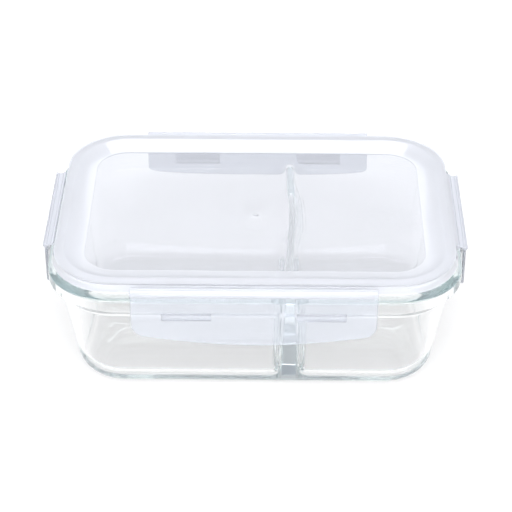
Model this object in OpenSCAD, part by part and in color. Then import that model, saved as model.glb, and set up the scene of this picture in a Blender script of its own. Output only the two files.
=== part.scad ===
// Two-compartment glass lunch box with a snap-lock lid.
// The origin is the centre of the base, +X runs along the length and +Z is up.
// Profiles are drawn as (distance outward, height) and carried round the plan.

/* [Lid] */
// Length of the lid between its outer edges
lid_l = 207; // [200:1:215]
// Width of the lid between its outer edges
lid_w = 146; // [142:1:152]
// Plan radius of the lid's outer corner
corner_r = 33; // [32:0.5:36]
// Height of the skirt's lower edge above the base
skirt_z = 68; // [67.5:0.1:68.3]
// Thickness of the lid's skin
skin_t = 1.5; // [1.4:0.1:1.6]
// Depth of the recessed centre panel below the crest
panel_drop = 2.8; // [2.4:0.1:3]
// Distance from the lid's edge to the flat centre panel
panel_inset = 16.5; // [16:0.5:19]

/* [Dish] */
// Height of the glass rim above the base
rim_z = 70; // [69.6:0.1:70]
// Thickness of the glass rim
rim_t = 3.9; // [3.7:0.1:4]
// Distance from the lid's edge in to the rim's outer face
rim_inset = 4.4; // [4.3:0.1:4.6]
// Height of the locking ledge's upper face
ledge_z = 65; // [64.8:0.1:65.2]
// Height of the ledge's upright edge, from its upper face to the centre of its lower rounding
ledge_edge = 5.7; // [5.6:0.1:5.8]
// Distance that the ledge stands out past the lid's edge
ledge_out = 2.4; // [2.2:0.1:2.4]
// Slope of the ledge's lower face, from the horizontal
ledge_slope = 50; // [50:1:54]
// Draft of the outer wall
wall_draft = 8.2; // [7:0.1:9]
// Radius of the outer bottom edge
foot_r = 12; // [10:0.5:13]
// Distance from the lid's edge in to the wall just above the bottom edge
foot_inset = 10; // [9:0.5:11]
// Draft of the inner wall
inner_draft = 5.5; // [5:0.1:6]
// Thickness of the floor
floor_t = 5; // [4.5:0.1:5.5]
// Radius between the floor and the inner wall
floor_r = 9; // [7:0.5:9]

/* [Divider] */
// Position of the divider along X
divider_x = 18; // [0:1:30]
// Height of the divider's top edge
divider_z = 59; // [50:1:62]
// Thickness of the divider at its top
divider_t = 4; // [3.5:0.1:5]
// Draft of each divider face
divider_draft = 2.2; // [1:0.1:3]
// Radius between the divider and the floor
divider_r = 5.5; // [4:0.5:6]

/* [Flaps] */
// Length of the front and back flaps
long_flap = 123; // [115:1:126]
// Length of the left and right flaps
short_flap = 69; // [62:1:70]
// Thickness of a flap
flap_t = 1.6; // [1.5:0.1:1.7]
// Gap between the ledge's edge and a flap
flap_gap = 0.6; // [0.5:0.1:0.7]
// Lowest point of the front and back flaps
long_flap_low = 41; // [40:0.5:43]
// Lowest point of the left and right flaps
short_flap_low = 43; // [42:0.5:44]
// Height of each flap's lower edge at its ends
flap_end_z = 46; // [45:0.5:47]
// Height at which a flap starts to curve outward
flare_z = 50; // [49:0.5:51]
// Radius of the outward curve on a flap's inner face
flare_r = 22; // [20:1:26]
// Radius of a flap's lower corners
flap_corner_r = 7; // [6:0.5:8]
// Width of a lock rib on the front and back flaps
long_rib = 25; // [20:1:30]
// Distance of those ribs from the middle of the flap
long_rib_x = 33.7; // [30:0.1:38]
// Width of the lock rib on the left and right flaps
short_rib = 30; // [20:1:40]

/* [Living hinges] */
// Thickness of the hinge film
film_t = 0.5; // [0.4:0.05:0.6]
// Radius of the film's rounded edges
bead_r = 0.8; // [0.75:0.01:0.85]
// Running clearance round each edge
bead_fit = 0.05; // [0.03:0.01:0.08]
// Wall round each edge
bead_wall = 0.5; // [0.45:0.05:0.55]

/* [Gate mark] */
// Position of the moulding gate along Y
gate_y = -5; // [-8:1:8]
// Radius of the moulding gate
gate_r = 1.5; // [1:0.1:2]
// Height of the moulding gate's raised ring
gate_rise = 0.3; // [0.2:0.1:0.5]

/* [Hidden] */

$fn = 96;
// Small length by which joined shapes run into each other
overlap = 0.5;
// Length that reaches past any section it cuts
past = 40;

// Corner centres, shared by every profile that runs round the plan
centre_x = lid_l / 2 - corner_r;
centre_y = lid_w / 2 - corner_r;

// Each side's turn from +Y, the reach to its edge and the length of its flap
back = [0, lid_w / 2, long_flap];
front = [180, lid_w / 2, long_flap];
left = [90, lid_l / 2, short_flap];
right = [-90, lid_l / 2, short_flap];
sides = [back, front, left, right];

// Lid heights
crest_z = 73.5;
land_z = 73.1;
land_round = 0.9;
crest_inset = 5.5;
crest_half = 0.8;
panel_z = crest_z - panel_drop;
slope_top = corner_r - crest_inset - crest_half;
crest_end = corner_r - crest_inset + crest_half;

// Ribs under the skin on either side of the gasket
rib_t = 1.1;
inner_rib_low = panel_z - skin_t - 1.7;
inner_rib_in = corner_r - rim_inset - rim_t - 0.3 - 2 * rib_t;
outer_rib_in = corner_r - rim_inset + 1;

// Gasket: free gaps beside and above the rim, its lips and its fit under the skin
gasket_gap = 0.35;
gasket_seat = 0.2;
gasket_lip = 0.6;
gasket_inner_drop = 1;
gasket_outer_drop = 0.6;
gasket_fit = 0.05;

// Dish outline: tangent points of the bottom edge, the ledge's tip and the rim
foot_c = [corner_r - foot_inset - foot_r, foot_r];
foot_tangent = foot_c + foot_r * [cos(wall_draft), -sin(wall_draft)];
tip_r = 1;
ledge_r = corner_r + ledge_out;
tip_c = [ledge_r - tip_r, ledge_z - ledge_edge];
tip_tangent = tip_c + tip_r * [sin(ledge_slope), -cos(ledge_slope)];
ledge_root = meet(
    foot_tangent, [sin(wall_draft), cos(wall_draft)],
    tip_tangent, [-cos(ledge_slope), -sin(ledge_slope)]
);
rim_out = corner_r - rim_inset;
rim_in = rim_out - rim_t;
rim_round = rim_t / 2;
rim_shoulder = rim_z - rim_round;
floor_c = [
    rim_in - (rim_shoulder - floor_t - floor_r) * tan(inner_draft) - floor_r / cos(inner_draft),
    floor_t + floor_r
];
floor_tangent = floor_c + floor_r * [cos(inner_draft), -sin(inner_draft)];

// Divider
divider_root = floor_t - overlap;
divider_top_r = divider_t / 2;
divider_side = divider_z - divider_top_r;
// How far its ends run into the glass walls, at the floor and at its top
divider_low_end = lid_w / 2 - foot_inset - 3;
divider_high_end = lid_w / 2 - rim_inset - 2.5;

// Hinge axes, as distance outward from the lid's edge and height
lid_axis = [0.55, 71];
flap_axis = [4, 70.3];
film_angle = atan2(flap_axis[1] - lid_axis[1], flap_axis[0] - lid_axis[0]);
socket_r = bead_r + bead_fit;
housing_r = socket_r + bead_wall;
// Each socket is open over the angle that the film turns through
lid_mouth = [film_angle - 24, film_angle + 116];
flap_mouth = [film_angle + 64, film_angle + 204];
mouth_reach = 4;
// The lid's socket starts inside the skirt
socket_root = 0.3 - skin_t;
// The film and its sockets are cut to length with this much to spare at each end
end_gap = 0.3;

// Flap section
flap_in = ledge_out + flap_gap;
flare_c = [flap_in + flare_r, flare_z];

// Lock rib: its upper face runs parallel to the ledge's lower face
hook_u = 0.9;
hook_gap = 0.48;
hook_top = tip_c[1] + (hook_u - ledge_out + tip_r) * tan(ledge_slope)
    - (tip_r + hook_gap) / cos(ledge_slope);
hook_low = 54;
hook_nose = 1.2;

// Point where two lines meet; each is a point and a direction
function meet(p, d, q, e) =
    p + d * ((q[0] - p[0]) * e[1] - (q[1] - p[1]) * e[0]) / (d[0] * e[1] - d[1] * e[0]);

// Height of the skin's underside at a distance from the corner's centre
function skin_under(r) =
    r < slope_top
        ? crest_z - skin_t - (slope_top - r) * panel_drop / (slope_top - corner_r + panel_inset)
        : crest_z - skin_t - max(0, r - crest_end) * (crest_z - land_z) / (corner_r - skin_t - crest_end);

// ---------- shared shapes ----------

// Carries a profile round the four corners and along the four sides
module round_plan() {
    for (sx = [0, 1], sy = [0, 1])
        mirror([sx, 0, 0])
            mirror([0, sy, 0])
                translate([centre_x, centre_y, 0])
                    rotate_extrude(angle = 90)
                        children();
    for (turn = [0, 180]) {
        rotate([0, 0, turn])
            translate([centre_x, centre_y, 0])
                rotate([90, 0, 0])
                    linear_extrude(2 * centre_y)
                        children();
        rotate([0, 0, turn + 90])
            translate([centre_y, centre_x, 0])
                rotate([90, 0, 0])
                    linear_extrude(2 * centre_x)
                        children();
    }
}

// Flat slab between the corner centres
module middle(low, high) {
    translate([-centre_x, -centre_y, low])
        cube([2 * centre_x, 2 * centre_y, high - low]);
}

// Puts a shape drawn outward along +Y from the lid's edge onto one side
module on_side(turn, reach) {
    rotate([0, 0, turn])
        translate([0, reach, 0])
            children();
}

// Runs a profile along a side, centred on it
module along(length) {
    rotate([90, 0, 90])
        linear_extrude(length, center = true)
            children();
}

// Wedge from an axis, between two angles
module wedge(axis, angles, size) {
    middle_angle = (angles[0] + angles[1]) / 2;
    translate(axis)
        polygon([
            [0, 0],
            size * [cos(angles[0]), sin(angles[0])],
            1.6 * size * [cos(middle_angle), sin(middle_angle)],
            size * [cos(angles[1]), sin(angles[1])]
        ]);
}

// ---------- glass dish ----------

module dish_profile() {
    difference() {
        union() {
            polygon([
                [0, 0],
                [foot_c[0], 0],
                foot_tangent,
                ledge_root,
                tip_tangent,
                [ledge_r, tip_c[1]],
                [ledge_r, ledge_z - tip_r],
                [tip_c[0], ledge_z],
                [rim_out, ledge_z],
                [rim_out, rim_shoulder],
                [rim_in, rim_shoulder],
                floor_tangent,
                [floor_c[0], floor_t],
                [0, floor_t]
            ]);
            translate(foot_c)
                intersection() {
                    circle(foot_r);
                    polygon([[0, 0], [0, -2 * foot_r], [2 * foot_r, -2 * foot_r], foot_tangent - foot_c]);
                }
            for (z = [tip_c[1], ledge_z - tip_r])
                translate([tip_c[0], z])
                    circle(tip_r);
            translate([rim_in + rim_round, rim_shoulder])
                circle(rim_round);
        }
        translate(floor_c)
            circle(floor_r);
    }
}

// The divider's cross-section, with a round top and a round foot on each side
module divider_section() {
    spread = (divider_side - divider_root) * tan(divider_draft);
    foot_x = divider_top_r + (divider_side - floor_t - divider_r) * tan(divider_draft);
    translate([0, divider_side])
        circle(divider_top_r);
    polygon([
        [-divider_top_r, divider_side],
        [-divider_top_r - spread, divider_root],
        [divider_top_r + spread, divider_root],
        [divider_top_r, divider_side]
    ]);
    for (side = [-1, 1])
        difference() {
            translate([side > 0 ? 0 : -foot_x - divider_r, divider_root])
                square([foot_x + divider_r, floor_t + divider_r - divider_root]);
            translate([side * (foot_x + divider_r), floor_t + divider_r])
                circle(divider_r);
        }
}

// The divider seen from the side: its ends lean with the walls they grow from
module divider_elevation() {
    polygon([
        [-divider_low_end, divider_root],
        [divider_low_end, divider_root],
        [divider_high_end, divider_z + overlap],
        [-divider_high_end, divider_z + overlap]
    ]);
}

module glass_dish() {
    color("#c9d8d6") {
        round_plan()
            dish_profile();
        middle(0, floor_t);
        translate([divider_x, 0, 0])
            intersection() {
                translate([0, lid_w / 2, 0])
                    rotate([90, 0, 0])
                        linear_extrude(lid_w)
                            divider_section();
                rotate([90, 0, 90])
                    linear_extrude(past, center = true)
                        divider_elevation();
            }
    }
}

// ---------- lid ----------

// Upper outline of the lid's skin from the centre panel out to the skirt
module lid_profile() {
    round_x = corner_r - land_round;
    round_z = land_z - land_round;
    polygon([
        [0, panel_z - skin_t],
        [0, panel_z],
        [corner_r - panel_inset, panel_z],
        [slope_top, crest_z],
        [crest_end, crest_z],
        [round_x, land_z],
        [round_x, round_z],
        [corner_r, round_z],
        [corner_r, skirt_z],
        [corner_r - skin_t, skirt_z],
        [corner_r - skin_t, land_z - skin_t],
        [crest_end, crest_z - skin_t],
        [slope_top, crest_z - skin_t],
        [corner_r - panel_inset, panel_z - skin_t]
    ]);
    translate([round_x, round_z])
        circle(land_round);
    // ribs on either side of the gasket
    translate([inner_rib_in, inner_rib_low])
        square([rib_t, skin_under(inner_rib_in) + overlap - inner_rib_low]);
    translate([outer_rib_in, rim_z])
        square([rib_t, skin_under(outer_rib_in) + overlap - rim_z]);
}

// Round socket on the skirt that holds one edge of a hinge film
module lid_socket(length) {
    along(length)
        difference() {
            union() {
                translate(lid_axis)
                    circle(housing_r);
                translate([socket_root, lid_axis[1] - housing_r])
                    square([lid_axis[0] - socket_root, 2 * housing_r]);
            }
            translate(lid_axis)
                circle(socket_r);
            wedge(lid_axis, lid_mouth, mouth_reach);
        }
}

module lid_panel() {
    color("#e9ecf5")
        difference() {
            union() {
                round_plan()
                    lid_profile();
                middle(panel_z - skin_t, panel_z);
                translate([0, gate_y, panel_z - overlap])
                    cylinder(r = gate_r, h = overlap + gate_rise);
                for (side = sides)
                    on_side(side[0], side[1])
                        lid_socket(side[2]);
            }
            translate([0, gate_y, panel_z])
                cylinder(r = gate_r / 2, h = 2 * gate_rise);
            // the sockets' bores also bite a little way into the skirt
            for (side = sides)
                on_side(side[0], side[1])
                    along(side[2] + end_gap)
                        translate(lid_axis)
                            circle(socket_r);
        }
}

// ---------- gasket ----------

// Channel-shaped ring: it lines the skin's underside and straddles the glass rim
module gasket_profile() {
    low_z = rim_z + gasket_seat;
    in_x = rim_in - gasket_gap - gasket_lip;
    out_x = rim_out + gasket_gap + gasket_lip;
    polygon([
        [in_x, skin_under(in_x) - gasket_fit],
        [slope_top, skin_under(slope_top) - gasket_fit],
        [crest_end, skin_under(crest_end) - gasket_fit],
        [out_x, skin_under(out_x) - gasket_fit],
        [out_x, rim_z - gasket_outer_drop],
        [out_x - gasket_lip, rim_z - gasket_outer_drop],
        [out_x - gasket_lip, low_z],
        [in_x + gasket_lip, low_z],
        [in_x + gasket_lip, rim_z - gasket_inner_drop],
        [in_x, rim_z - gasket_inner_drop]
    ]);
}

module lid_gasket() {
    color("#f7f8fa")
        round_plan()
            gasket_profile();
}

// ---------- hinge films ----------

module film_section() {
    length = norm(flap_axis - lid_axis);
    translate(lid_axis)
        circle(bead_r);
    translate(flap_axis)
        circle(bead_r);
    translate(lid_axis)
        rotate([0, 0, film_angle])
            translate([0, -film_t / 2])
                square([length, film_t]);
}

module hinge_film(side) {
    color("#f2f4fa")
        on_side(side[0], side[1])
            along(side[2] - 2 * end_gap)
                film_section();
}

module front_hinge() { hinge_film(front); }
module back_hinge() { hinge_film(back); }
module left_hinge() { hinge_film(left); }
module right_hinge() { hinge_film(right); }

// ---------- flaps ----------

// Flap section: round top socket, straight wall and outward-curved lip
module flap_section(low) {
    difference() {
        union() {
            translate(flap_axis)
                circle(housing_r);
            translate([flap_in, flare_z])
                square([flap_t, flap_axis[1] - flare_z]);
        }
        translate(flap_axis)
            circle(socket_r);
        wedge(flap_axis, flap_mouth, mouth_reach);
    }
    intersection() {
        translate(flare_c)
            difference() {
                circle(flare_r, $fn = 180);
                circle(flare_r - flap_t, $fn = 180);
            }
        translate([flap_in, low - 1])
            square([flare_r, flare_z - low + 1]);
    }
}

// Flap outline seen from outside: bowed lower edge between two round corners
module flap_outline(length, low) {
    half = length / 2;
    bow = flap_end_z - low;
    bow_r = (half * half + bow * bow) / (2 * bow);
    corner_x = half - flap_corner_r;
    bow_c = low + bow_r;
    corner_z = bow_c - sqrt(pow(bow_r - flap_corner_r, 2) - corner_x * corner_x);
    bow_half = corner_x + overlap;
    top_z = flap_axis[1] + housing_r + 1;
    translate([-half, corner_z])
        square([length, top_z - corner_z]);
    intersection() {
        translate([0, bow_c])
            circle(bow_r, $fn = 720);
        translate([-bow_half, low - 1])
            square([2 * bow_half, corner_z - low + 1.5]);
    }
    for (side = [-1, 1])
        translate([side * corner_x, corner_z])
            circle(flap_corner_r);
}

module rib_section() {
    polygon([
        [flap_in + flap_t / 2, hook_low],
        [hook_u + 0.5, hook_low],
        [hook_u, hook_top - hook_nose],
        [hook_u, hook_top],
        [flap_in, hook_top + (flap_in - hook_u) * tan(ledge_slope)],
        [flap_in + flap_t / 2, hook_top + (flap_in - hook_u) * tan(ledge_slope)]
    ]);
}

module flap(side, low, rib, rib_at) {
    color("#e6eaf5")
        on_side(side[0], side[1]) {
            intersection() {
                along(side[2])
                    flap_section(low);
                translate([0, past / 2, 0])
                    rotate([90, 0, 0])
                        linear_extrude(past)
                            flap_outline(side[2], low);
            }
            for (x = rib_at)
                translate([x, 0, 0])
                    along(rib)
                        rib_section();
        }
}

module front_flap() { flap(front, long_flap_low, long_rib, [-long_rib_x, long_rib_x]); }
module back_flap() { flap(back, long_flap_low, long_rib, [-long_rib_x, long_rib_x]); }
module left_flap() { flap(left, short_flap_low, short_rib, [0]); }
module right_flap() { flap(right, short_flap_low, short_rib, [0]); }

glass_dish();
lid_panel();
lid_gasket();
front_hinge();
back_hinge();
left_hinge();
right_hinge();
front_flap();
back_flap();
left_flap();
right_flap();
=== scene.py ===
"""Two-compartment glass lunch box with a translucent snap lid.

Shapes are worked out in millimetres and written to meshes in metres.
A profile point is (u, z): u is the distance outward from the lid's outer edge and z the height.
"""

import math

import bmesh
import bpy
import numpy as np
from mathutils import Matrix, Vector


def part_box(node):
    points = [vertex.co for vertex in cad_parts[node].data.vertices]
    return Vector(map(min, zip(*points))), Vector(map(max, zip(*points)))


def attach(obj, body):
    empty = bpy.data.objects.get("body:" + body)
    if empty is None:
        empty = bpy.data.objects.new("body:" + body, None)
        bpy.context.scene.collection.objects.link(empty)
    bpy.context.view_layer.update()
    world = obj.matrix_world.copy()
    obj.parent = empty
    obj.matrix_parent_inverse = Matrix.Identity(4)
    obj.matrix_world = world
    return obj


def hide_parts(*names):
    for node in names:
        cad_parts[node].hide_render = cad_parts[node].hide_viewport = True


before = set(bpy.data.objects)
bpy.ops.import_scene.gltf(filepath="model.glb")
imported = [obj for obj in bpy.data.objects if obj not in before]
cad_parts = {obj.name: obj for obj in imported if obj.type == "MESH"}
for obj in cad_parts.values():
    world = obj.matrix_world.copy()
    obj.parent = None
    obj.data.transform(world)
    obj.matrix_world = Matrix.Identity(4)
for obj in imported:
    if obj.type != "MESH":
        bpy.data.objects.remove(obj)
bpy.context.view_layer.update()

MM = 0.001

# ---------- sizes, from the frame and a few of the part's own dimensions ----------

dish_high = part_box("glass_dish")[1] / MM
lid_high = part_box("lid_panel")[1] / MM

LEDGE_OUT = 2.4
CORNER = 33.0
EDGE_X = dish_high.x - LEDGE_OUT
EDGE_Y = dish_high.y - LEDGE_OUT

RIM_Z = dish_high.z
RIM_OUT = -4.4
RIM_THICK = 3.9
LEDGE_Z = 65.0
LEDGE_LOW = 58.94
LEDGE_ROOT = 51.6
FLOOR_Z = 5.0
INNER_DRAFT = math.tan(math.radians(5.5))
WALL_DRAFT = math.tan(math.radians(8.2))
FLOOR_ROUND = 9.0
FOOT_ROUND = 12.0
FOOT_TOP = 10.3
FOOT_INSET = -10.0
SOFT_CORNER = 3.4

DIVIDER_X = 18.0
DIVIDER_Z = 59.0
DIVIDER_HALF = 2.0
DIVIDER_DRAFT = math.tan(math.radians(2.2))
DIVIDER_ROUND = 5.5

CREST_Z = lid_high.z
PANEL_Z = CREST_Z - 2.8
SLOPE_RUN = 10.2
PANEL_SLOPE = (CREST_Z - PANEL_Z) / SLOPE_RUN
WINDOW_IN = -16.0
SKIN = 1.5
SKIRT_Z = 68.0
GATE = (0.0, -5.0)

LID_AXIS = (0.55, 71.0)
FLAP_AXIS = (4.0, 70.3)
SOCKET_R = 0.85
HOUSING_R = 1.35

FLAP_HALF = 0.8
FLAP_IN = LEDGE_OUT + 0.6
FLAP_MID = FLAP_IN + FLAP_HALF
FLARE_Z = 50.4
LIP_Z = 44.6
RIB_LOW = 54.0
RIB_TOP = 59.9

# Reach is the distance from the middle to the lid's edge, low is the flap's lowest point and ribs are
# the places of its lock ribs along it
LONG_FLAP = {"reach": EDGE_Y, "length": 123.0, "low": 41.0, "ribs": (-33.7, 33.7), "rib_length": 25.0}
SHORT_FLAP = {"reach": EDGE_X, "length": 69.0, "low": 43.0, "ribs": (0.0,), "rib_length": 30.0}
# Turn is the angle from +Y to the side's outward direction
SIDES = (
    {"name": "back", "turn": 0.0, **LONG_FLAP},
    {"name": "front", "turn": 180.0, **LONG_FLAP},
    {"name": "left", "turn": 90.0, **SHORT_FLAP},
    {"name": "right", "turn": -90.0, **SHORT_FLAP},
)


# ---------- mesh helpers ----------


def new_object(name, verts, faces, sharp=None):
    """Tidied mesh object from vertices in millimetres."""
    mesh = bpy.data.meshes.new(name)
    mesh.from_pydata((np.asarray(verts, float) * MM).tolist(), [], faces)
    obj = bpy.data.objects.new(name, mesh)
    bpy.context.scene.collection.objects.link(obj)
    tidy_mesh(obj, sharp)
    return obj


def tidy_mesh(obj, sharp=None):
    """Merges doubles, turns normals outward and shades smooth; edges over the sharp angle stay sharp."""
    bm = bmesh.new()
    bm.from_mesh(obj.data)
    bmesh.ops.remove_doubles(bm, verts=bm.verts, dist=2e-6)
    bmesh.ops.recalc_face_normals(bm, faces=bm.faces)
    for face in bm.faces:
        face.smooth = True
    if sharp is not None:
        limit = math.radians(sharp)
        for edge in bm.edges:
            edge.smooth = len(edge.link_faces) != 2 or edge.calc_face_angle(0.0) < limit
    bm.to_mesh(obj.data)
    bm.free()


def combine(obj, other, operation):
    """Applies a boolean with another object and removes that object."""
    mod = obj.modifiers.new("combine", "BOOLEAN")
    mod.operation = operation
    mod.solver = "EXACT"
    mod.object = other
    bpy.context.view_layer.update()
    graph = bpy.context.evaluated_depsgraph_get()
    mesh = bpy.data.meshes.new_from_object(obj.evaluated_get(graph))
    obj.modifiers.clear()
    old = obj.data
    obj.data = mesh
    bpy.data.meshes.remove(old)
    bpy.data.objects.remove(other)


def rounded_path(points, step=12.0):
    """Polyline through (u, z, radius) corners, each corner turned into an arc."""
    out = []
    last = len(points) - 1
    for k, (u, z, r) in enumerate(points):
        here = np.array((u, z), float)
        if r <= 0 or k in (0, last):
            out.append(here)
            continue
        back = np.array(points[k - 1][:2], float) - here
        ahead = np.array(points[k + 1][:2], float) - here
        back /= np.linalg.norm(back)
        ahead /= np.linalg.norm(ahead)
        half = math.acos(max(-1.0, min(1.0, float(back @ ahead)))) / 2
        cut = r / math.tan(half)
        centre = here + (back + ahead) / np.linalg.norm(back + ahead) * (r / math.sin(half))
        start = here + back * cut - centre
        turn = math.pi - 2 * half
        side = 1.0 if start[0] * ahead[1] > start[1] * ahead[0] else -1.0
        count = max(2, math.ceil(math.degrees(turn) / step))
        for i in range(count + 1):
            a = side * turn * i / count
            c, s = math.cos(a), math.sin(a)
            out.append(centre + np.array((c * start[0] - s * start[1], s * start[0] + c * start[1])))
    return out


# ---------- plan: stations round a rounded rectangle, anticlockwise from the divider's front end ----------

CORNER_STEPS = 20
SIDE_STEPS = 16
FRONT_LEFT_STEPS = 18
FRONT_RIGHT_STEPS = 10
BLEND_STEPS = 6
BLEND = 9.0


def plan_stations():
    """Rows that place the stations on any outline of the plan, and marks where each compartment's run is.

    A row (ax, bx, ex, cx, dx, ay, cy, dy) stands for x = ax (hx - r) + bx + ex c + cx r + dx hx and
    y = ay (hy - r) + cy r + dy hy, with half sizes hx and hy, corner radius r and a column of stations
    at the distance c on each side of the divider.
    """
    rows = []

    def straight_x(a0, b0, e0, a1, b1, e1, sy, steps):
        for i in range(steps):
            f = i / steps
            rows.append((a0 + (a1 - a0) * f, b0 + (b1 - b0) * f, e0 + (e1 - e0) * f, 0, 0, 0, 0, sy))

    def straight_y(sx, start, end, steps):
        for i in range(steps):
            rows.append((0, 0, 0, 0, sx, start + (end - start) * i / steps, 0, 0))

    def arc(sx, sy, start):
        for i in range(CORNER_STEPS):
            a = math.radians(start + 90.0 * i / CORNER_STEPS)
            rows.append((sx, 0, 0, math.cos(a), 0, sy, math.sin(a), 0))

    d = DIVIDER_X
    marks = {}
    straight_x(0, d, 0, 0, d, 1, -1, BLEND_STEPS)
    marks["right_from"] = len(rows)
    straight_x(0, d, 1, 1, 0, 0, -1, FRONT_RIGHT_STEPS)
    arc(1, -1, -90)
    straight_y(1, -1, 1, SIDE_STEPS)
    arc(1, 1, 0)
    straight_x(1, 0, 0, 0, d, 1, 1, FRONT_RIGHT_STEPS)
    marks["right_to"] = len(rows)
    straight_x(0, d, 1, 0, d, 0, 1, BLEND_STEPS)
    straight_x(0, d, 0, 0, d, -1, 1, BLEND_STEPS)
    marks["left_from"] = len(rows)
    straight_x(0, d, -1, -1, 0, 0, 1, FRONT_LEFT_STEPS)
    arc(-1, 1, 90)
    straight_y(-1, 1, -1, SIDE_STEPS)
    arc(-1, -1, 180)
    straight_x(-1, 0, 0, 0, d, -1, -1, FRONT_LEFT_STEPS)
    marks["left_to"] = len(rows)
    straight_x(0, d, -1, 0, d, 0, -1, BLEND_STEPS)
    return np.array(rows, float), marks


STATIONS, MARKS = plan_stations()


def plan_ring(u, z, extra=0.0, column=BLEND):
    """Points of the plan at one profile point; extra softens the corner beyond the concentric radius."""
    s = STATIONS
    hx, hy = EDGE_X + u, EDGE_Y + u
    r = max(CORNER + u + extra, 0.2)
    x = s[:, 0] * (hx - r) + s[:, 1] + s[:, 2] * column + s[:, 3] * r + s[:, 4] * hx
    y = s[:, 5] * (hy - r) + s[:, 6] * r + s[:, 7] * hy
    return np.column_stack((x, y, np.full(len(x), z)))


def tube(count, rings, loop=False):
    """Quads that join rings of vertices into a tube, or back to the first ring in a loop."""
    faces = []
    for k in range(rings if loop else rings - 1):
        a, b = k * count, (k + 1) % rings * count
        for i in range(count):
            j = (i + 1) % count
            faces.append((a + i, a + j, b + j, b + i))
    return faces


def cap(count, ring):
    """Flat face across one ring of a tube."""
    return tuple(range(ring * count, (ring + 1) * count))


# ---------- glass dish ----------


def soft(z):
    """How much the dish's corners open up towards its foot."""
    t = np.clip((56.0 - np.asarray(z, float)) / 44.0, 0.0, 1.0)
    return SOFT_CORNER * t * t * (3 - 2 * t)


RIM_ROUND = RIM_THICK / 2
RIM_SHOULDER = RIM_Z - RIM_ROUND
RIM_IN = RIM_OUT - RIM_THICK


def inner_u(z):
    """Distance outward of the inner wall at a height."""
    return RIM_IN - (RIM_SHOULDER - z) * INNER_DRAFT


def air(p):
    """Signed distance into the air of the two compartments: negative inside the glass."""
    x, y, z = p[:, 0], p[:, 1], p[:, 2]
    u = inner_u(z)
    r = CORNER + u + soft(z)
    qx = np.abs(x) - (EDGE_X + u - r)
    qy = np.abs(y) - (EDGE_Y + u - r)
    reach = np.hypot(np.maximum(qx, 0), np.maximum(qy, 0)) + np.minimum(np.maximum(qx, qy), 0)
    wall = (r - reach) / math.hypot(1, INNER_DRAFT)
    floor = z - FLOOR_Z
    tub = FLOOR_ROUND - np.hypot(np.maximum(FLOOR_ROUND - wall, 0), np.maximum(FLOOR_ROUND - floor, 0))
    top = DIVIDER_Z - DIVIDER_HALF
    dx = np.abs(x - DIVIDER_X)
    face = (dx - DIVIDER_HALF - (top - z) * DIVIDER_DRAFT) / math.hypot(1, DIVIDER_DRAFT)
    divider = np.where(z < top, face, np.hypot(dx, z - top) - DIVIDER_HALF)
    blend = DIVIDER_ROUND
    return blend - np.hypot(np.maximum(blend - tub, 0), np.maximum(blend - divider, 0))


def settle(p, steps=25, h=1e-4, reach=1.5):
    """Moves points along the gradient onto the glass surface, by no more than the reach in one step."""
    p = p.copy()
    for _ in range(steps):
        f = air(p)
        g = np.column_stack([(air(p + d) - air(p - d)) / (2 * h) for d in np.eye(3) * h])
        size = np.maximum((g * g).sum(1), 0.05)
        p -= np.clip(f / size, -reach, reach)[:, None] * g
    return p


def resample(path, count):
    """count + 1 points evenly spaced along a polyline."""
    path = np.asarray(path, float)
    run = np.concatenate(([0], np.cumsum(np.linalg.norm(np.diff(path, axis=0), axis=1))))
    want = np.linspace(0, run[-1], count + 1)
    return np.column_stack([np.interp(want, run, path[:, k]) for k in range(path.shape[1])])


def inner_paths():
    """Matching runs down the outer wall, as (u, z), and down the divider's face, as (half thickness, z)."""
    top = DIVIDER_Z - DIVIDER_HALF
    steps_top, steps_face, steps_foot = 6, 14, 9
    lower = FLOOR_Z + FLOOR_ROUND
    wall = [resample([(inner_u(RIM_SHOULDER), RIM_SHOULDER), (inner_u(top), top)], steps_top)]
    wall.append(resample([(inner_u(top), top), (inner_u(lower), lower)], steps_face)[1:])
    foot = rounded_path([(inner_u(lower), lower, 0), (inner_u(FLOOR_Z), FLOOR_Z, FLOOR_ROUND),
                         (inner_u(FLOOR_Z) - FLOOR_ROUND - 0.5, FLOOR_Z, 0)], 5)
    wall.append(resample(foot, steps_foot)[1:])
    low = FLOOR_Z + DIVIDER_ROUND

    def half(z):
        return DIVIDER_HALF + (top - z) * DIVIDER_DRAFT

    crown = [(DIVIDER_HALF * math.sin(a), top + DIVIDER_HALF * math.cos(a))
             for a in np.linspace(0, math.pi / 2, 13)]
    divider = [resample(crown, steps_top)]
    divider.append(resample([(half(top), top), (half(low), low)], steps_face)[1:])
    foot = rounded_path([(half(low), low, 0), (half(FLOOR_Z), FLOOR_Z, DIVIDER_ROUND),
                         (half(FLOOR_Z) + DIVIDER_ROUND + 0.5, FLOOR_Z, 0)], 5)
    divider.append(resample(foot, steps_foot)[1:])
    return np.vstack(wall), np.vstack(divider)


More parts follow.
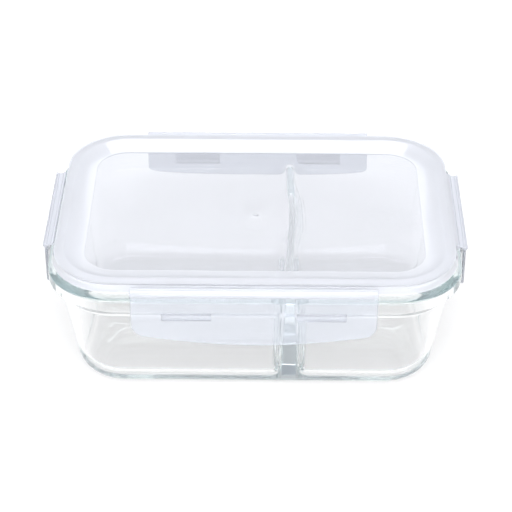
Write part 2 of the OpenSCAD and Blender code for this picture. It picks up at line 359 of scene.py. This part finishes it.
def compartment(side):
    """Vertices and faces of one compartment; side is 1 for the right and -1 for the left of the divider."""
    wall, divider = inner_paths()
    name = "right" if side > 0 else "left"
    first, last = MARKS[name + "_from"], MARKS[name + "_to"]
    face_steps = 20
    verts = []
    for k, ((u, z), (b, face_z)) in enumerate(zip(wall, divider)):
        hy = EDGE_Y + u
        face_x = DIVIDER_X + side * b

        def corner(end):
            """Along the wall to the divider, down to the divider's level, then along its face."""
            along = [(DIVIDER_X + side * (BLEND + b), 0.0, z), (face_x, 0.0, z)]
            down = [(face_x, 0.0, z), (face_x, 0.0, face_z), (face_x, BLEND, face_z)]
            pts = np.vstack((resample(along, BLEND_STEPS), resample(down, BLEND_STEPS)[1:]))
            pts[:, 1] = end * (hy - pts[:, 1])
            return pts

        run = plan_ring(u, z, float(soft(z)), BLEND + b)[first:last + 1]
        face_y = np.linspace(side * (hy - BLEND), -side * (hy - BLEND), face_steps + 1)
        face = np.column_stack((np.full(len(face_y), face_x), face_y, np.full(len(face_y), face_z)))
        loop = np.vstack((run, corner(side)[1:], face[1:], corner(-side)[::-1][1:-1]))
        settled = settle(loop)
        if k == 0:
            # the stretch that meets the rim stays on the rim's inner shoulder
            settled[:len(run) + BLEND_STEPS] = loop[:len(run) + BLEND_STEPS]
            settled[-BLEND_STEPS:] = loop[-BLEND_STEPS:]
        if k == len(wall) - 1:
            settled[:, 2] = FLOOR_Z
        verts.append(settled)
    count = len(verts[0])
    return np.vstack(verts), tube(count, len(verts)) + [cap(count, len(verts) - 1)]


def dish_outside():
    """Profile from the rim's inner shoulder over the rim, round the ledge and down to the flat base."""
    crown = [(RIM_IN + RIM_ROUND - RIM_ROUND * math.cos(a), RIM_SHOULDER + RIM_ROUND * math.sin(a))
             for a in np.linspace(0, math.pi, 13)]
    side = rounded_path([
        (RIM_OUT, RIM_SHOULDER - 0.5, 0),
        (RIM_OUT, LEDGE_Z, 0.8),
        (LEDGE_OUT - 0.05, LEDGE_Z, 1.1),
        (LEDGE_OUT, LEDGE_LOW, 1.0),
        (FOOT_INSET + (LEDGE_ROOT - FOOT_TOP) * WALL_DRAFT, LEDGE_ROOT, 5.0),
        (FOOT_INSET - 0.1 - FOOT_TOP * WALL_DRAFT, 0.0, FOOT_ROUND - 0.1),
        (FOOT_INSET - FOOT_ROUND - 2.5, 0.0, 0),
    ], 9)
    return crown + split_long(side, 5.0)


def split_long(path, limit):
    """Adds points so that no step of a profile is longer than the limit."""
    out = [path[0]]
    for p in path[1:]:
        steps = max(1, math.ceil(np.linalg.norm(p - out[-1]) / limit))
        start = out[-1]
        for i in range(1, steps + 1):
            out.append(start + (p - start) * i / steps)
    return out


def build_dish():
    count = len(STATIONS)
    verts = [plan_ring(u, z, float(soft(z))) for u, z in dish_outside()]
    faces = tube(count, len(verts)) + [cap(count, len(verts) - 1)]
    total = len(verts) * count
    for side in (1, -1):
        inner, inner_faces = compartment(side)
        verts.append(inner)
        faces += [tuple(i + total for i in f) for f in inner_faces]
        total += len(inner)
    return new_object("dish_glass", np.vstack(verts), faces)


# ---------- lid ----------


def lid_profile():
    """From the centre panel out, down the skirt and back along the underside with its gasket ribs."""
    under = CREST_Z - SKIN

    def below(u):
        return under - max(0.0, -6.3 - u) * PANEL_SLOPE

    return rounded_path([
        (-24.0, PANEL_Z, 0),
        (-16.5, PANEL_Z, 9.0),
        (-6.4, CREST_Z + 0.05, 3.2),
        (-2.6, CREST_Z - 0.42, 2.2),
        (-0.1, CREST_Z - 0.3, 1.0),
        (0.0, SKIRT_Z, 0.35),
        (-SKIN, SKIRT_Z, 0.35),
        (-SKIN, 71.6, 0.5),
        (-2.3, 71.75, 0.2),
        (-2.3, 70.0, 0.3),
        (-3.4, 70.0, 0.3),
        (-3.4, 71.85, 0.2),
        (-4.7, under, 0.5),
        (-6.3, under, 2.0),
        (-9.7, below(-9.7), 0.2),
        (-9.7, 67.5, 0.35),
        (-10.8, 67.5, 0.35),
        (-10.8, below(-10.8), 0.4),
        (-16.5, PANEL_Z - SKIN, 9.0),
        (-24.0, PANEL_Z - SKIN, 0),
    ], 10)


def gate_mark(inner_ring):
    """Rings of the small raised spot where the lid was moulded, as (radius, height above the panel)."""
    angle = np.arctan2(inner_ring[:, 1] - GATE[1], inner_ring[:, 0] - GATE[0])
    spot = [(0.25, 0.05), (0.6, 0.06), (0.85, 0.2), (1.1, 0.3), (1.35, 0.28), (1.6, 0.08), (1.9, 0.0)]
    return [np.column_stack((GATE[0] + r * np.cos(angle), GATE[1] + r * np.sin(angle),
                             np.full(len(angle), PANEL_Z + rise))) for r, rise in spot]


def build_lid():
    count = len(STATIONS)
    rings = [plan_ring(u, z) for u, z in lid_profile()]
    verts = gate_mark(rings[0]) + rings
    faces = tube(count, len(verts)) + [cap(count, 0), cap(count, len(verts) - 1)]
    lid = new_object("lid_shell", np.vstack(verts), faces)
    for side in SIDES:
        combine(lid, socket_block(side), "UNION")
        combine(lid, keyhole(side, LID_AXIS, (-35.0, 104.0), side["length"] + 0.3), "DIFFERENCE")
    tidy_mesh(lid, 32)
    return lid


def lid_distance(p):
    """Distance outward from the lid's edge, in plan."""
    qx, qy = abs(p[0]) - (EDGE_X - CORNER), abs(p[1]) - (EDGE_Y - CORNER)
    return math.hypot(max(qx, 0), max(qy, 0)) + min(max(qx, qy), 0) - CORNER


def build_gasket():
    """Soft ring with two lips that straddle the glass rim."""
    under = CREST_Z - SKIN - 0.06
    path = rounded_path([
        (-6.5, 70.25, 0),
        (-8.4, 70.2, 0.5),
        (-8.65, 68.9, 0.25),
        (-9.25, 68.9, 0.25),
        (-9.3, under - 3.0 * PANEL_SLOPE, 0.4),
        (-6.3, under, 1.5),
        (-4.7, under, 0.5),
        (-3.5, under - 0.15, 0.3),
        (-3.5, 69.4, 0.25),
        (-4.05, 69.4, 0.25),
        (-4.2, 70.2, 0.4),
        (-6.5, 70.25, 0),
    ], 15)[:-1]
    verts = [plan_ring(u, z) for u, z in path]
    return new_object("gasket_ring", np.vstack(verts), tube(len(STATIONS), len(path), loop=True), 40)


# ---------- hinges and flaps ----------


def on_side(side, points):
    """From (along, outward from the lid's edge, up) to the object's own axes."""
    turn = math.radians(side["turn"])
    c, s = math.cos(turn), math.sin(turn)
    p = np.asarray(points, float)
    x, y = p[:, 0], p[:, 1] + side["reach"]
    return np.column_stack((c * x - s * y, s * x + c * y, p[:, 2]))


def prism(name, side, outline, length, middle=0.0, bevel=0.0):
    """Closed outline of (u, z) run along a side; its ends shrink over the bevel."""
    outline = np.asarray(outline, float)
    centre = outline.mean(0)
    span = np.abs(outline - centre).max()
    steps = [(0.0, bevel), (bevel * 0.3, bevel * 0.3), (bevel, 0.0)] if bevel else [(0.0, 0.0)]
    rings = [(at - length / 2, inset) for at, inset in steps]
    rings += [(length / 2 - at, inset) for at, inset in reversed(steps)]
    count = len(outline)
    verts = []
    for at, inset in rings:
        shape = centre + (outline - centre) * (1 - inset / span)
        verts.append(np.column_stack((np.full(count, middle + at), shape[:, 0], shape[:, 1])))
    faces = tube(count, len(rings)) + [cap(count, 0), cap(count, len(rings) - 1)]
    return new_object(name, on_side(side, np.vstack(verts)), faces)


def circle_arc(centre, r, start, end, steps):
    """Points of an arc between two angles in degrees."""
    return [(centre[0] + r * math.cos(a), centre[1] + r * math.sin(a))
            for a in np.radians(np.linspace(start, end, steps + 1))]


def socket_block(side):
    """Rounded knuckle on the skirt that holds the film's inner edge."""
    outline = circle_arc(LID_AXIS, HOUSING_R, -90, 90, 18)
    outline += [(-1.0, LID_AXIS[1] + HOUSING_R), (-1.0, LID_AXIS[1] - HOUSING_R)]
    return prism("knuckle", side, outline, side["length"], bevel=0.25)


def keyhole(side, axis, mouth, length, reach=3.6):
    """Bore with an open mouth between two angles, to cut a socket."""
    outline = circle_arc(axis, SOCKET_R, mouth[1], mouth[0] + 360, 40)
    outline += circle_arc(axis, reach, mouth[0], mouth[1], 6)
    return prism("cutter", side, outline, length)


def flap_u(z):
    """Distance outward of the flap's middle surface: straight, then an outward curve, then the lip."""
    drop = np.maximum(FLARE_Z - np.asarray(z, float), 0.0)
    lip = np.maximum(LIP_Z - np.asarray(z, float), 0.0)
    return FLAP_MID + 0.05 * drop + drop ** 2 / 58.0 + 0.07 * lip ** 1.6


def flap_columns(length, low, inset):
    """(x, lowest z) along the flap: bowed lower edge between two round corners, drawn in by the inset."""
    half, end_z, corner = length / 2, 46.0, 7.0
    bow = end_z - low
    bow_r = (half * half + bow * bow) / (2 * bow)
    corner_x = half - corner
    corner_z = low + bow_r - math.sqrt((bow_r - corner) ** 2 - corner_x ** 2)
    tangent = math.asin(corner_x / (bow_r - corner))
    right = []
    steps = max(10, int(length / 6))
    for i in range(steps):
        a = tangent * i / steps
        right.append(((bow_r - inset) * math.sin(a), low + bow_r - (bow_r - inset) * math.cos(a)))
    for i in range(11):
        a = tangent + (math.pi / 2 - tangent) * i / 10
        right.append((corner_x + (corner - inset) * math.sin(a), corner_z - (corner - inset) * math.cos(a)))
    left = [(-x, z) for x, z in right[:0:-1]]
    return left + right


def flap_sheet(side):
    """The flap's wall as a thick sheet with fully rounded edges."""
    columns = flap_columns(side["length"], side["low"], FLAP_HALF)
    rows = 26
    top = FLAP_AXIS[1] + 0.2
    n = len(columns)
    mid = np.zeros((n, rows + 1, 3))
    for i, (x, low) in enumerate(columns):
        z = np.linspace(top, low, rows + 1)
        mid[i] = np.column_stack((np.full(rows + 1, x), flap_u(z), z))
    h = 1e-3
    slope = (flap_u(mid[:, :, 2] + h) - flap_u(mid[:, :, 2] - h)) / (2 * h)
    size = np.sqrt(1 + slope ** 2)
    normal = np.stack((np.zeros_like(slope), 1 / size, -slope / size), axis=2)
    outer, inner = mid + normal * FLAP_HALF, mid - normal * FLAP_HALF
    verts = np.vstack((outer.reshape(-1, 3), inner.reshape(-1, 3)))
    faces = []
    width = rows + 1
    for i in range(n - 1):
        for j in range(rows):
            a, b = i * width + j, (i + 1) * width + j
            faces.append((a, b, b + 1, a + 1))
            off = n * width
            faces.append((off + a, off + a + 1, off + b + 1, off + b))
    # the rounded border: half a circle between the two faces, all the way round
    border = [(i, 0) for i in range(n)] + [(n - 1, j) for j in range(1, width)]
    border += [(i, rows) for i in range(n - 2, -1, -1)] + [(0, j) for j in range(rows - 1, 0, -1)]
    pts = np.array([mid[i, j] for i, j in border])
    nrm = np.array([normal[i, j] for i, j in border])
    tangent = np.roll(pts, -1, axis=0) - np.roll(pts, 1, axis=0)
    out = np.cross(tangent, nrm)
    out /= np.linalg.norm(out, axis=1)[:, None]
    if (out[:, 2] * (pts[:, 2] - mid[:, :, 2].mean())).sum() < 0:
        out = -out
    steps = 8
    start = len(verts)
    rings = [np.array([i * width + j for i, j in border])]
    extra = []
    for k in range(1, steps):
        a = math.pi * k / steps
        extra.append(pts + FLAP_HALF * (math.cos(a) * nrm + math.sin(a) * out))
        rings.append(start + (k - 1) * len(border) + np.arange(len(border)))
    rings.append(rings[0] + n * width)
    verts = np.vstack([verts] + extra)
    m = len(border)
    for k in range(steps):
        for i in range(m):
            j = (i + 1) % m
            faces.append((int(rings[k][i]), int(rings[k][j]), int(rings[k + 1][j]), int(rings[k + 1][i])))
    return new_object(side["name"] + "_latch", on_side(side, verts), faces)


def build_flap(side):
    """The sheet with its lock ribs and the socket that holds the film's outer edge."""
    flap = flap_sheet(side)
    bead = circle_arc(FLAP_AXIS, HOUSING_R, 0, 352.5, 47)
    combine(flap, prism("bead", side, bead, side["length"], bevel=0.3), "UNION")
    rib = rounded_path([
        (FLAP_MID, 56.0, 0),
        (FLAP_MID, RIB_TOP, 0),
        (0.95, 56.5, 0.35),
        (0.9, 55.3, 0.3),
        (1.5, RIB_LOW, 0.5),
        (FLAP_MID, RIB_LOW, 0),
    ], 15)
    for x in side["ribs"]:
        combine(flap, prism("rib", side, rib, side["rib_length"], middle=x, bevel=0.4), "UNION")
    combine(flap, keyhole(side, FLAP_AXIS, (53.0, 192.0), side["length"] + 2.0), "DIFFERENCE")
    tidy_mesh(flap, 32)
    return flap


# ---------- materials ----------


def new_material(name):
    mat = bpy.data.materials.new(name)
    mat.use_nodes = True
    nodes, links = mat.node_tree.nodes, mat.node_tree.links
    return mat, nodes, links, nodes["Principled BSDF"]


def add_noise(nodes, links, scale, detail, stretch=None):
    """Noise in the object's own coordinates."""
    coords = nodes.new("ShaderNodeTexCoord")
    noise = nodes.new("ShaderNodeTexNoise")
    noise.inputs["Scale"].default_value = scale
    noise.inputs["Detail"].default_value = detail
    source = coords.outputs["Object"]
    if stretch:
        mapping = nodes.new("ShaderNodeMapping")
        mapping.inputs["Scale"].default_value = stretch
        links.new(source, mapping.inputs["Vector"])
        source = mapping.outputs["Vector"]
    links.new(source, noise.inputs["Vector"])
    return noise.outputs["Fac"]


def add_ramp(nodes, links, source, low, high, start=0.3, end=0.7):
    ramp = nodes.new("ShaderNodeValToRGB")
    ramp.color_ramp.elements[0].position = start
    ramp.color_ramp.elements[1].position = end
    ramp.color_ramp.elements[0].color = (*low, 1)
    ramp.color_ramp.elements[1].color = (*high, 1)
    links.new(source, ramp.inputs["Fac"])
    return ramp.outputs["Color"]


def add_bump(nodes, links, bsdf, source, strength, distance):
    bump = nodes.new("ShaderNodeBump")
    bump.inputs["Strength"].default_value = strength
    bump.inputs["Distance"].default_value = distance
    links.new(source, bump.inputs["Height"])
    links.new(bump.outputs["Normal"], bsdf.inputs["Normal"])


def ledge_painted_shade(nodes, links):
    """White glass, with a painted green-grey shade on the ledge's flat top, where the view looks down into
    the whole height of the wall.
    """
    height = nodes.new("ShaderNodeSeparateXYZ")
    links.new(nodes.new("ShaderNodeTexCoord").outputs["Object"], height.inputs["Vector"])
    band = nodes.new("ShaderNodeMapRange")
    band.inputs["From Min"].default_value = (LEDGE_Z - 1.5) * MM
    band.inputs["From Max"].default_value = (LEDGE_Z + 1.5) * MM
    links.new(height.outputs["Z"], band.inputs["Value"])
    ramp = nodes.new("ShaderNodeValToRGB")
    ends = ramp.color_ramp.elements
    ends[0].position, ends[0].color = 0.1, (1, 1, 1, 1)
    ends[1].position, ends[1].color = 0.85, (1, 1, 1, 1)
    # painted shade: this green-grey stop darkens the ledge top's height band
    ends.new(0.5).color = (0.54, 0.66, 0.67, 1)
    links.new(band.outputs["Result"], ramp.inputs["Fac"])
    return ramp.outputs["Color"]


def glass_material():
    """Clear pressed glass: faint waviness, a green tint that only builds up in thick glass, and a painted
    green-grey shade on the ledge's flat top.
    """
    mat, nodes, links, bsdf = new_material("pressed_glass")
    bsdf.inputs["Transmission Weight"].default_value = 1.0
    links.new(ledge_painted_shade(nodes, links), bsdf.inputs["Base Color"])
    bsdf.inputs["IOR"].default_value = 1.49
    haze = add_noise(nodes, links, 60.0, 4.0)
    rough = add_ramp(nodes, links, haze, (0.0,) * 3, (0.03,) * 3, 0.45, 0.8)
    links.new(rough, bsdf.inputs["Roughness"])
    waves = add_noise(nodes, links, 28.0, 1.0, (1.0, 1.0, 0.45))
    add_bump(nodes, links, bsdf, waves, 0.12, 0.0006)
    absorb = nodes.new("ShaderNodeVolumeAbsorption")
    absorb.inputs["Color"].default_value = (0.6, 0.86, 0.85, 1)
    absorb.inputs["Density"].default_value = 1.8
    links.new(absorb.outputs["Volume"], nodes["Material Output"].inputs["Volume"])
    return mat


def plastic_material(name, tint, clear, rough, cloud=0.02):
    """Milky polypropylene: part clear, part white, with slow cloudiness and a fine satin grain."""
    mat, nodes, links, bsdf = new_material(name)
    shade = tuple(c * (1 - cloud) for c in tint)
    colour = add_ramp(nodes, links, add_noise(nodes, links, 22.0, 3.0), shade, tint)
    links.new(colour, bsdf.inputs["Base Color"])
    bsdf.inputs["Transmission Weight"].default_value = clear
    bsdf.inputs["IOR"].default_value = 1.49
    grain = add_noise(nodes, links, 900.0, 2.0)
    satin = add_ramp(nodes, links, grain, (rough * 0.85,) * 3, (rough * 1.2,) * 3)
    links.new(satin, bsdf.inputs["Roughness"])
    add_bump(nodes, links, bsdf, grain, 0.12, 0.00004)
    return mat


def silicone_material():
    """Soft white rubber with a little dust."""
    mat, nodes, links, bsdf = new_material("white_silicone")
    dust = add_noise(nodes, links, 350.0, 5.0)
    colour = add_ramp(nodes, links, dust, (0.93, 0.935, 0.95), (0.965, 0.967, 0.975))
    links.new(colour, bsdf.inputs["Base Color"])
    bsdf.inputs["Subsurface Weight"].default_value = 0.3
    bsdf.inputs["Subsurface Radius"].default_value = (0.002, 0.002, 0.002)
    bsdf.inputs["Roughness"].default_value = 0.5
    add_bump(nodes, links, bsdf, dust, 0.2, 0.00005)
    return mat


def assign(obj, *mats):
    """Gives an object its materials; the first one covers it all."""
    obj.data.materials.clear()
    for mat in mats:
        obj.data.materials.append(mat)


glass = glass_material()
lid_frame = plastic_material("lid_polypropylene", (0.925, 0.94, 0.985), 0.47, 0.05)
lid_window = plastic_material("lid_window_polypropylene", (0.915, 0.927, 0.968), 0.82, 0.02)
flap_plastic = plastic_material("flap_polypropylene", (0.885, 0.91, 0.965), 0.78, 0.1)
rib_plastic = plastic_material("rib_polypropylene", (0.865, 0.885, 0.945), 0.55, 0.1)
# the hinge film's own milky plastic; on the flaps' knuckle beads it is also a painted highlight along the
# hinge line
film_and_knuckle_highlight_plastic = plastic_material("film_and_knuckle_highlight_polypropylene", (0.82, 0.84, 0.9), 0.35, 0.15)
silicone = silicone_material()

# ---------- pieces ----------

dish = build_dish()
assign(dish, glass)
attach(dish, "dish")
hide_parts("glass_dish")

lid = build_lid()
assign(lid, lid_frame, lid_window)
for face in lid.data.polygons:
    if lid_distance(face.center / MM) < WINDOW_IN:
        face.material_index = 1
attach(lid, "lid")
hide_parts("lid_panel")

gasket = build_gasket()
assign(gasket, silicone)
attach(gasket, "lid")
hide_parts("lid_gasket")

for side in SIDES:
    flap = build_flap(side)
    assign(flap, flap_plastic, film_and_knuckle_highlight_plastic, rib_plastic)
    for face in flap.data.polygons:
        p = face.center / MM
        # painted highlight: the knuckle bead along the flap's top takes the milkier film material so it
        # looks whiter
        if p.z > FLAP_AXIS[1] - HOUSING_R:
            face.material_index = 1
        elif RIB_LOW - 0.1 < p.z < RIB_TOP + 0.1 and lid_distance(p) < FLAP_IN - 0.1:
            face.material_index = 2
    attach(flap, side["name"] + "_latch")
    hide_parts(side["name"] + "_flap")
    assign(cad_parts[side["name"] + "_hinge"], film_and_knuckle_highlight_plastic)

# ---------- floor, light and camera ----------


def stage_floor():
    """Wide white table that glows a little, as a photographer's light table does."""
    half = 6.0
    corners = [(-half, -half, 0), (half, -half, 0), (half, half, 0), (-half, half, 0)]
    mesh = bpy.data.meshes.new("floor")
    mesh.from_pydata(corners, [], [(0, 1, 2, 3)])
    floor = bpy.data.objects.new("floor", mesh)
    bpy.context.scene.collection.objects.link(floor)
    floor.location.z = -0.0002
    mat, _, _, bsdf = new_material("white_sweep")
    bsdf.inputs["Base Color"].default_value = (0.42, 0.42, 0.42, 1)
    bsdf.inputs["Roughness"].default_value = 0.9
    bsdf.inputs["Specular IOR Level"].default_value = 0.1
    bsdf.inputs["Emission Color"].default_value = (1, 1, 1, 1)
    bsdf.inputs["Emission Strength"].default_value = 0.62
    assign(floor, mat)


def area_light(name, place, aim, size, power):
    light = bpy.data.lights.new(name, "AREA")
    light.shape = "RECTANGLE"
    light.size, light.size_y = size
    light.energy = power
    obj = bpy.data.objects.new(name, light)
    obj.location = place
    obj.rotation_euler = (Vector(aim) - Vector(place)).to_track_quat("-Z", "Y").to_euler()
    bpy.context.scene.collection.objects.link(obj)


def studio():
    """Soft grey surroundings, one light above and a large one in front."""
    world = bpy.data.worlds.new("studio")
    bpy.context.scene.world = world
    world.use_nodes = True
    nodes, links = world.node_tree.nodes, world.node_tree.links
    height = nodes.new("ShaderNodeSeparateXYZ")
    links.new(nodes.new("ShaderNodeTexCoord").outputs["Generated"], height.inputs["Vector"])
    ramp = nodes.new("ShaderNodeValToRGB")
    elements = ramp.color_ramp.elements
    elements[0].position, elements[0].color = 0.0, (0.43, 0.44, 0.45, 1)
    elements[1].position, elements[1].color = 0.35, (0.48, 0.49, 0.52, 1)
    links.new(height.outputs["Z"], ramp.inputs["Fac"])
    links.new(ramp.outputs["Color"], nodes["Background"].inputs["Color"])
    area_light("overhead", (0.0, 0.55, 1.2), (0, 0, 0.05), (1.3, 0.5), 8.5)
    area_light("front_box", (0.0, -1.2, 1.15), (0, 0, 0.04), (1.5, 0.9), 25)
    scene = bpy.context.scene
    scene.view_settings.view_transform = "Standard"
    scene.cycles.max_bounces = 48
    scene.cycles.transmission_bounces = 48
    scene.cycles.glossy_bounces = 48


def add_camera():
    """The viewpoint: a long lens, 35 degrees above the table and almost square to the front."""
    target = Vector((0, 0, 0.035))
    azimuth, elevation, distance = math.radians(0.75), math.radians(35.0), 0.989
    away = Vector((math.sin(azimuth) * math.cos(elevation), -math.cos(azimuth) * math.cos(elevation),
                   math.sin(elevation)))
    aim = Vector((0, 0.0027, 0.0389))
    data = bpy.data.cameras.new("camera")
    data.sensor_width = 36
    data.lens = 129.2
    data.clip_start = 0.05
    camera = bpy.data.objects.new("camera", data)
    camera.location = target + away * distance
    camera.rotation_euler = (aim - camera.location).to_track_quat("-Z", "Y").to_euler()
    bpy.context.scene.collection.objects.link(camera)
    bpy.context.scene.camera = camera


stage_floor()
studio()
add_camera()
